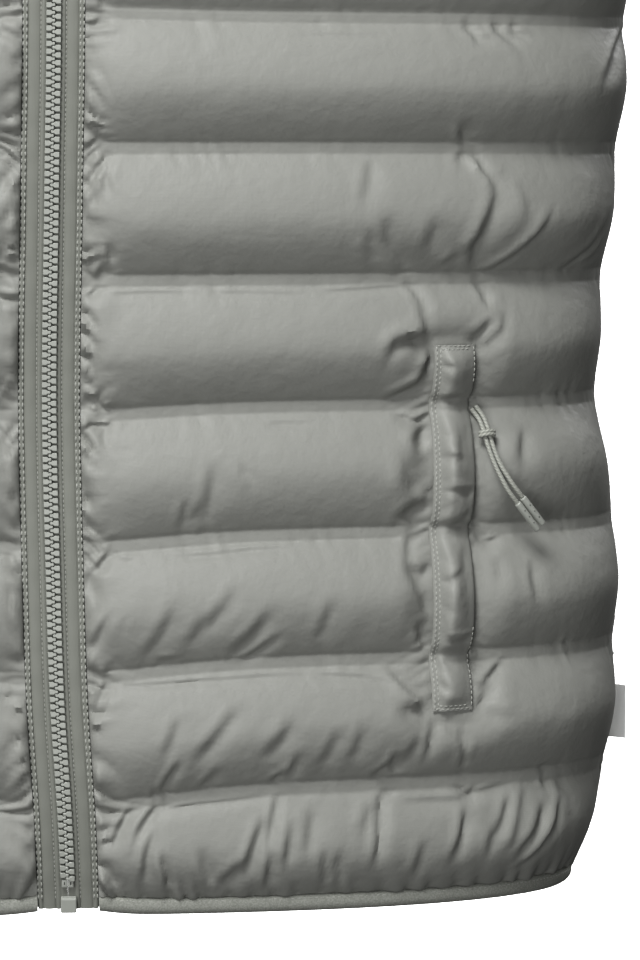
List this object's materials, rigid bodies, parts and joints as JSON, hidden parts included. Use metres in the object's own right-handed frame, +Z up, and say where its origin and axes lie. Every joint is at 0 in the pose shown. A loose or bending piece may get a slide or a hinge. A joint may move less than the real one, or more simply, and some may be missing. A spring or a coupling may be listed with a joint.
{
  "type": "quilted body warmer",
  "caption": "Sleeveless quilted jacket in its worn form, hollow, with a full-length zip, stand collar, bound hem and armholes, and zipped pockets with corded pulls.",
  "frame": {"origin": "midway between the neck ends of the two shoulder seams, where a wearer's shoulders hold the garment", "axes": "+Z up from hem to collar, -Y out of the front, +X towards the wearer's left"},
  "size_m": [0.4834, 0.2538, 0.7519],
  "materials": {
    "shell": "satin woven nylon, quilted over light padding",
    "binding": "matt stretch binding",
    "tape": "flat woven zip tape",
    "moulded": "moulded acetal, slightly glossy",
    "cord": "braided polyester cord",
    "label": "plain woven satin"
  },
  "bodies": {
    "garment": {"front_left": "shell", "front_right": "shell", "back": "shell", "collar": "shell", "hem_binding": "binding", "armhole_binding_left": "binding", "armhole_binding_right": "binding", "zip_tape_left": "tape", "zip_tape_right": "tape", "zip_chain": "moulded", "zip_box": "moulded", "zip_slider": "moulded", "pocket_welt_left": "shell", "pocket_welt_right": "shell", "pocket_cord_left_a": "cord", "pocket_cord_left_b": "cord", "pocket_cord_right_a": "cord", "pocket_cord_right_b": "cord", "pocket_knot_left": "cord", "pocket_knot_right": "cord", "pocket_tip_left_a": "moulded", "pocket_tip_left_b": "moulded", "pocket_tip_right_a": "moulded", "pocket_tip_right_b": "moulded", "side_label": "label"},
    "zip_pull": {"zip_pull": "moulded"}
  },
  "joints": [
    {"name": "pull_swing", "type": "hinge", "parent": "garment", "child": "zip_pull", "pos_m": [0, -0.07567, -0.03203], "axis": [-1, 0, 0], "range_deg": [0, 165]}
  ]
}
